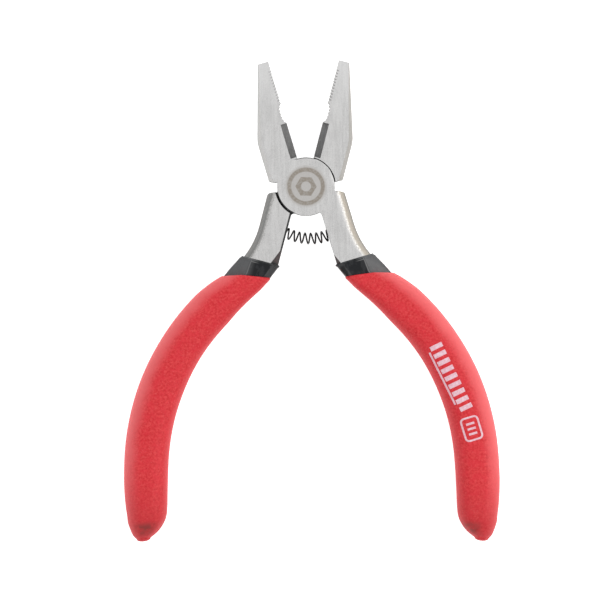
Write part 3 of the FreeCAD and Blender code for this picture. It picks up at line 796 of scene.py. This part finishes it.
def blackened_parts_and_gap_shade(n, at, colour, speck):
    """Cutter bevels, the flare by the sleeve and the narrow inner bevel, which are dark, and
    painted shade in the slot between a hub and the other lever. Returns the share that isn't
    bare metal too."""
    over_edge = n.ramp(at.x, -CUTTER_WIDE - 0.10, -CUTTER_WIDE - 0.06)
    in_cutter = n.between(at.y, CUTTER_START, CUTTER_END, 0.03)
    cutter = n.times(over_edge, in_cutter, n.ramp(at.steep, 0.97, 0.9))
    mottled = n.mix(n.ramp(speck, 0.3, 0.7), *CUTTER_GREY[at.side])
    colour = n.mix(cutter, colour, mottled)
    flare = n.times(n.ramp(at.y, *FLARE_BELOW), n.ramp(at.x, *FLARE_WITHIN),
                    n.ramp(at.steep, 0.97, 0.93))
    colour = n.mix(flare, colour, FLARE_DARK)
    on_shank = n.times(n.ramp(at.y, *BEVEL_BELOW), n.ramp(at.y, *BEVEL_ABOVE))
    near_edge = n.times(n.ramp(at.x, *BEVEL_WITHIN), n.ramp(at.z, *BEVEL_DEPTH))
    colour = n.mix(n.times(on_shank, near_edge), colour, grey(0.05))
    # Painted shade: the slot round the hub, with the hub's wall in it, is painted near black.
    off_middle = n.math("ABSOLUTE", n.math("SUBTRACT", at.z, MID))
    in_depth = n.ramp(off_middle, MID - 0.05, MID - 0.12)
    hub_wall = n.times(n.between(at.radius, HUB_RAD - 0.10, HUB_RAD + 0.12, 0.03),
                       n.ramp(n.times(at.row_x, at.row_y), 2, 6))
    in_slot = n.between(at.radius, *SLOT_WIDE, 0.03)
    slot = n.times(n.math("MAXIMUM", in_slot, hub_wall), in_depth)
    colour = n.mix(slot, colour, GAP_SHADE_BLACK)
    return colour, n.math("MAXIMUM", n.math("MAXIMUM", cutter, slot), flare)


def hub_mark(n, at, colour):
    """Painted shade on the rim of the front hub, and the mark burnt on it: a ring round
    a hexagon with a hole. Returns the burnt share too."""
    # Painted shade: a thin dark line along the hub's rim between the cutters.
    rim = n.times(n.ramp(at.radius, HUB_RAD - 0.22, HUB_RAD - 0.14), n.ramp(at.row_y, 5.95, 6.2))
    colour = n.mix(n.times(rim, n.ramp(at.y, 6.6, 6.5)), colour, grey(0.10))
    # The rim towards the rear shank is in the shade of the slot.
    toward = n.along(at.row_x, at.row_y, SLOT_WAY)
    shaded = n.times(n.ramp(at.radius, HUB_RAD - 0.14, HUB_RAD - 0.06),
                     n.ramp(toward, 5.5, 5.75),
                     n.ramp(at.radius, HUB_RAD + 0.25, HUB_RAD + 0.15))
    colour = n.mix(shaded, colour, GAP_SHADE_BLACK)
    on_front = n.ramp(at.z, THICK - 0.15, THICK - 0.1)
    ring = n.between(at.radius, *RING, 0.12)
    reach = [n.math("ABSOLUTE", n.along(at.x, at.y, math.radians(turn + NUT_TURN)))
             for turn in (0, 60, 120)]
    hexagon = n.math("MAXIMUM", n.math("MAXIMUM", reach[0], reach[1]), reach[2])
    nut = n.times(n.ramp(hexagon, NUT_FLAT, NUT_FLAT - 0.17),
                  n.ramp(at.radius, NUT_HOLE, NUT_HOLE + 0.17))
    burnt = n.times(n.math("MAXIMUM", ring, nut), on_front)
    worn = n.times(burnt, n.ramp(n.noise(at.point, 2.2, 4.0), 0.30, 0.62, 0.6, 1.0))
    halo = n.times(n.between(at.radius, -1.0, 4.6, 0.35), on_front)
    colour = n.mix(n.times(halo, 0.65), colour, HEAT_HALO)
    return n.mix(worn, colour, BURNT), worn


def steel_material(name, side, mark):
    """Satin steel of a lever or the rivet and, where told, the mark on the front hub."""
    n = Nodes(name)
    at = LeverPlace(n, side)
    colour, blend, relief, speck = steel_grain(n, at)
    # Painted shade: dark ticks in the gullets of the fine teeth.
    colour = painted_gullet_shade(n, at, colour)
    colour, shank_side = unground_sides_and_shade(n, at, colour)
    colour, dull = blackened_parts_and_gap_shade(n, at, colour, speck)
    metal = n.math("SUBTRACT", 1.0, dull)
    if mark:
        colour, worn = hub_mark(n, at, colour)
        metal = n.math("SUBTRACT", metal, n.times(worn, 0.35), clamp=True)
    n.join(colour, n.shader.inputs["Base Color"])
    n.join(metal, n.shader.inputs["Metallic"])
    rough = n.ramp(blend, 0.4, 0.6, 0.36, 0.52)
    rough = n.math("MAXIMUM", rough, n.times(shank_side, 0.58))
    n.join(rough, n.shader.inputs["Roughness"])
    n.bump(relief, 0.10, 0.00006)
    return n.material


PANEL_BLACK = (0.006, 0.007, 0.009, 1)
SLOPE_SHEEN_BLACK = (0.022, 0.023, 0.024, 1)
FACET_REFLECTION_GREY = (0.105, 0.107, 0.110, 1)
INNER_FACET_HIGHLIGHT = (0.060, 0.061, 0.063, 1)
FLOW_GREY = (0.055, 0.056, 0.060, 1)
EDGE_LIGHT = grey(0.30)


def sleeve_material(name, side):
    """Glossy black moulding: dark panel, faint flow marks, and painted reflections that make the
    sloping facets greyer.
    """
    n = Nodes(name)
    place = n.closed_frame(side)
    x, _, _ = n.split(place)
    flow = n.noise(n.stretch(place, (0.9, 0.5, 0.9)), 1.0, 3.0, 0.5)
    steep = n.math("ABSOLUTE", n.own_normal_z())
    tilt = n.ramp(steep, 0.98, 0.90)
    outer = n.times(tilt, n.ramp(x, 5.5, 7.5))
    # Painted reflections: sloping facets are lighter than the panel, the outer ones grey.
    colour = n.mix(tilt, PANEL_BLACK, SLOPE_SHEEN_BLACK)
    colour = n.mix(outer, colour, FACET_REFLECTION_GREY)
    # Painted highlights: patches of grey on the inner facets.
    inner = n.times(tilt, n.ramp(x, 5.5, 4.0))
    colour = n.mix(n.times(inner, n.ramp(flow, 0.35, 0.55)), colour, INNER_FACET_HIGHLIGHT)
    # The moulded edge between the panel and the outer facet catches the light.
    edge = n.times(n.between(steep, 0.955, 0.988, 0.008), n.ramp(x, 5.5, 7.5))
    colour = n.mix(n.times(edge, 0.55), colour, EDGE_LIGHT)
    # Painted reflection: the rear panel turns greyer towards its outer side.
    if side == "rear":
        colour = n.mix(n.ramp(x, 6.4, 7.8, 0.0, 0.45), colour, FACET_REFLECTION_GREY)
    colour = n.mix(n.times(n.ramp(flow, 0.40, 0.70), 0.30), colour, FLOW_GREY)
    n.join(colour, n.shader.inputs["Base Color"])
    n.join(n.ramp(flow, 0.3, 0.7, 0.20, 0.32), n.shader.inputs["Roughness"])
    n.shader.inputs["Specular IOR Level"].default_value = 0.22
    n.bump(flow, 0.10, 0.0001)
    return n.material


RED_DARK = (0.560, 0.004, 0.012, 1)
RED_LIGHT = (0.740, 0.052, 0.058, 1)
RED_PATCH = (0.690, 0.018, 0.034, 1)
OUTER_BAND_SHEEN_PINK = (0.800, 0.128, 0.135, 1)
INNER_BAND_SHADE_RED = (0.560, 0.030, 0.036, 1)
DOT_PINK = (0.80, 0.17, 0.18, 1)
LAST_STRETCH_RED = (0.46, 0.022, 0.026, 1)
SMUDGE_BROWN = (0.19, 0.030, 0.026, 1)
# Where the smudge near the tip lies across the grip, from -1 inside to 1 outside.
SMUDGE_ACROSS = {"front": (-0.85, 0.05), "rear": (-0.55, 0.60)}


def grip_material(name, side):
    """Dipped foam-like red plastic: mottled, smudged tip, with painted light that makes the
    outer band pinker and painted shade that darkens the inner band.
    """
    n = Nodes(name)
    place = n.own_millimetres()
    across = n.attribute("grip_across")
    to_tip = n.attribute("grip_to_tip")
    speckle = n.noise(place, 1.9, 4.0, 0.62)
    grain = n.noise(place, 6.0, 3.0, 0.6)
    cloud = n.noise(place, 0.22, 3.0)
    patch = n.noise(place, 0.6, 3.0, 0.6)
    colour = n.mix(n.ramp(speckle, 0.28, 0.74), RED_DARK, RED_LIGHT)
    colour = n.mix(n.ramp(patch, 0.42, 0.62, 0.0, 0.45), colour, RED_PATCH)
    # Painted light: the outer band is pinker, most on faces turned up and away from the tip.
    wavering = n.math("ADD", across, n.times(n.math("SUBTRACT", cloud, 0.5), 0.35))
    outer = n.times(n.ramp(wavering, 0.22, 0.80, 0.0, 0.85),
                    n.ramp(to_tip, 3.0, 26.0, 0.35, 1.0))
    upright = n.ramp(n.math("ABSOLUTE", n.own_normal_z()), 0.0, 0.35, 0.3, 1.0)
    outer = n.times(outer, upright)
    colour = n.mix(outer, colour, OUTER_BAND_SHEEN_PINK)
    # Painted shade: the inner band is darker.
    colour = n.mix(n.ramp(wavering, -0.45, -0.95, 0.0, 0.35), colour, INNER_BAND_SHADE_RED)
    dots = n.ramp(n.noise(place, 3.2, 2.0, 0.5), 0.58, 0.72)
    colour = n.mix(n.times(dots, 0.22), colour, DOT_PINK)
    # The last stretch is darker; the very tip is smudged.
    colour = n.mix(n.ramp(to_tip, 15.0, 1.0, 0.0, 0.42), colour, LAST_STRETCH_RED)
    low, high = SMUDGE_ACROSS[side]
    near_tip = n.between(to_tip, 0.9, 3.4, 0.9)
    sideways = n.between(across, low, high, 0.35)
    smudge = n.times(near_tip, sideways, n.ramp(patch, 0.36, 0.60, 0.35, 1.0))
    colour = n.mix(n.times(smudge, 0.80), colour, SMUDGE_BROWN)
    n.join(colour, n.shader.inputs["Base Color"])
    n.join(n.ramp(speckle, 0.3, 0.7, 0.50, 0.62), n.shader.inputs["Roughness"])
    n.shader.inputs["Specular IOR Level"].default_value = 0.35
    n.bump(n.math("ADD", speckle, n.times(grain, 0.5)), 0.22, 0.00016)
    return n.material


PRINT_WORN = (0.76, 0.43, 0.50, 1)
PRINT_FRESH = (0.82, 0.62, 0.69, 1)


def print_material(name):
    """Pale screen print, a little worn."""
    n = Nodes(name)
    place = n.own_millimetres()
    wear = n.noise(place, 2.4, 4.0, 0.7)
    colour = n.mix(n.ramp(wear, 0.42, 0.64), PRINT_WORN, PRINT_FRESH)
    n.join(colour, n.shader.inputs["Base Color"])
    n.shader.inputs["Roughness"].default_value = 0.6
    n.bump(wear, 0.1, 0.00005)
    return n.material


def spring_material(name):
    """Blackened wire with small rubbed spots."""
    n = Nodes(name)
    place = n.own_millimetres()
    rubbed = n.noise(place, 3.0, 3.0)
    colour = n.mix(n.ramp(rubbed, 0.55, 0.75), grey(0.018), grey(0.10))
    n.join(colour, n.shader.inputs["Base Color"])
    n.shader.inputs["Metallic"].default_value = 0.6
    n.join(n.ramp(rubbed, 0.3, 0.7, 0.35, 0.5), n.shader.inputs["Roughness"])
    n.bump(rubbed, 0.1, 0.00004)
    return n.material


FLOOR_GLOW = 0.75


def floor_material(name):
    """White paper that glows a little, so that it stays white round the object."""
    n = Nodes(name)
    place = n.add("ShaderNodeTexCoord").outputs["Object"]
    paper = n.noise(place, 60.0, 3.0)
    n.join(n.mix(n.ramp(paper, 0.3, 0.7), grey(0.93), grey(0.95)), n.shader.inputs["Base Color"])
    n.shader.inputs["Roughness"].default_value = 0.9
    n.shader.inputs["Specular IOR Level"].default_value = 0.1
    n.shader.inputs["Emission Color"].default_value = (1, 1, 1, 1)
    n.shader.inputs["Emission Strength"].default_value = FLOOR_GLOW
    return n.material


# ---------------------------------------------------------------- the object

def coat(node, material):
    """Puts a material on a CAD node, which keeps its mesh and place."""
    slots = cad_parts[node].data.materials
    slots.clear()
    slots.append(material)


for side in ("rear", "front"):
    coat(f"{side}_lever", steel_material(f"{side}_steel", side, mark=side == "front"))

    sleeve = to_row(sleeve_mesh(f"{side}_sleeve"), side)
    smooth_mesh(sleeve)
    finish_piece(sleeve, side, sleeve_material(f"{side}_black", side),
                 f"{side}_inner_sleeve")

    grip = grip_mesh(f"{side}_grip", GripShape(TAIL_CUT[side]))
    if side == "front":
        label = to_row(print_mesh("front_grip_print", grip), side)
        finish_piece(label, side, print_material("pale_print"))
    to_row(grip, side)
    smooth_mesh(grip)
    finish_piece(grip, side, grip_material(f"{side}_red_dip", side),
                 f"{side}_outer_grip")

coat("pivot_rivet", steel_material("rivet_steel", "front", mark=True))

spring = wire_mesh("coil_spring", spring_line(), SPRING_WIRE * MM)
smooth_mesh(spring)
spring.data.materials.append(spring_material("black_wire"))
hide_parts("return_spring")
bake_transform(spring)


# ---------------------------------------------------------------- floor, light, camera

def square(name, size, height):
    mesh = bpy.data.meshes.new(name)
    half = size / 2
    mesh.from_pydata([(-half, -half, height), (half, -half, height), (half, half, height),
                      (-half, half, height)], [], [(0, 1, 2, 3)])
    obj = bpy.data.objects.new(name, mesh)
    bpy.context.scene.collection.objects.link(obj)
    return obj


FLOOR_SIZE = 3.0
FLOOR_GAP = 0.02 * MM
floor = square("floor", FLOOR_SIZE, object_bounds()[0].z - FLOOR_GAP)
floor.data.materials.append(floor_material("white_floor"))


def area_light(name, place, target, size, strength, colour=(1, 1, 1)):
    """Rectangular soft box at a place, aimed at the target."""
    lamp = bpy.data.lights.new(name, "AREA")
    lamp.shape = "RECTANGLE"
    lamp.size, lamp.size_y = size
    lamp.energy = strength
    lamp.color = colour
    obj = bpy.data.objects.new(name, lamp)
    obj.location = place
    aim = Vector(target) - Vector(place)
    obj.rotation_euler = aim.to_track_quat("-Z", "Y").to_euler()
    bpy.context.scene.collection.objects.link(obj)


MIDDLE = (0, -0.025, 0)
area_light("right_box", (0.50, -0.02, 0.42), MIDDLE, (0.6, 0.2), 1.35, (1.0, 0.985, 0.96))
area_light("left_box", (-0.60, -0.02, 0.20), MIDDLE, (0.7, 0.16), 0.45, (0.97, 0.985, 1.0))
area_light("far_box", (0.25, 0.50, 0.30), MIDDLE, (0.6, 0.2), 0.7)

# A white dome that is darker near the horizon, so that sloping faces stand out.
world = bpy.data.worlds.new("studio")
world.use_nodes = True
sky = world.node_tree
height = sky.nodes.new("ShaderNodeSeparateXYZ")
sky.links.new(sky.nodes.new("ShaderNodeTexCoord").outputs["Generated"], height.inputs[0])
dome = sky.nodes.new("ShaderNodeMapRange")
dome.interpolation_type = "SMOOTHSTEP"
sky.links.new(height.outputs["Z"], dome.inputs["Value"])
for socket, level in (("From Min", 0.15), ("From Max", 0.90), ("To Min", 0.22), ("To Max", 1.0)):
    dome.inputs[socket].default_value = level
sky.links.new(dome.outputs[0], sky.nodes["Background"].inputs["Strength"])
sky.nodes["Background"].inputs["Color"].default_value = (1, 1, 1, 1)
bpy.context.scene.world = world

FRAME_WIDTH = 0.13432       # what the picture is wide, at the object
CAMERA_HEIGHT = 0.9
CAMERA_X = -0.00185
CAMERA_Y = -0.0254
SENSOR = 36.0
LEAN = math.radians(-1.14)  # the top of the pliers leans slightly to the left
camera_data = bpy.data.cameras.new("camera")
camera_data.sensor_width = SENSOR
camera_data.lens = SENSOR * CAMERA_HEIGHT / FRAME_WIDTH
camera_data.clip_start = 0.01
camera = bpy.data.objects.new("camera", camera_data)
camera.location = (CAMERA_X, CAMERA_Y, THICK * MM + CAMERA_HEIGHT)
camera.rotation_euler = (0, 0, LEAN)
bpy.context.scene.collection.objects.link(camera)
bpy.context.scene.camera = camera
bpy.context.scene.view_settings.view_transform = "Standard"
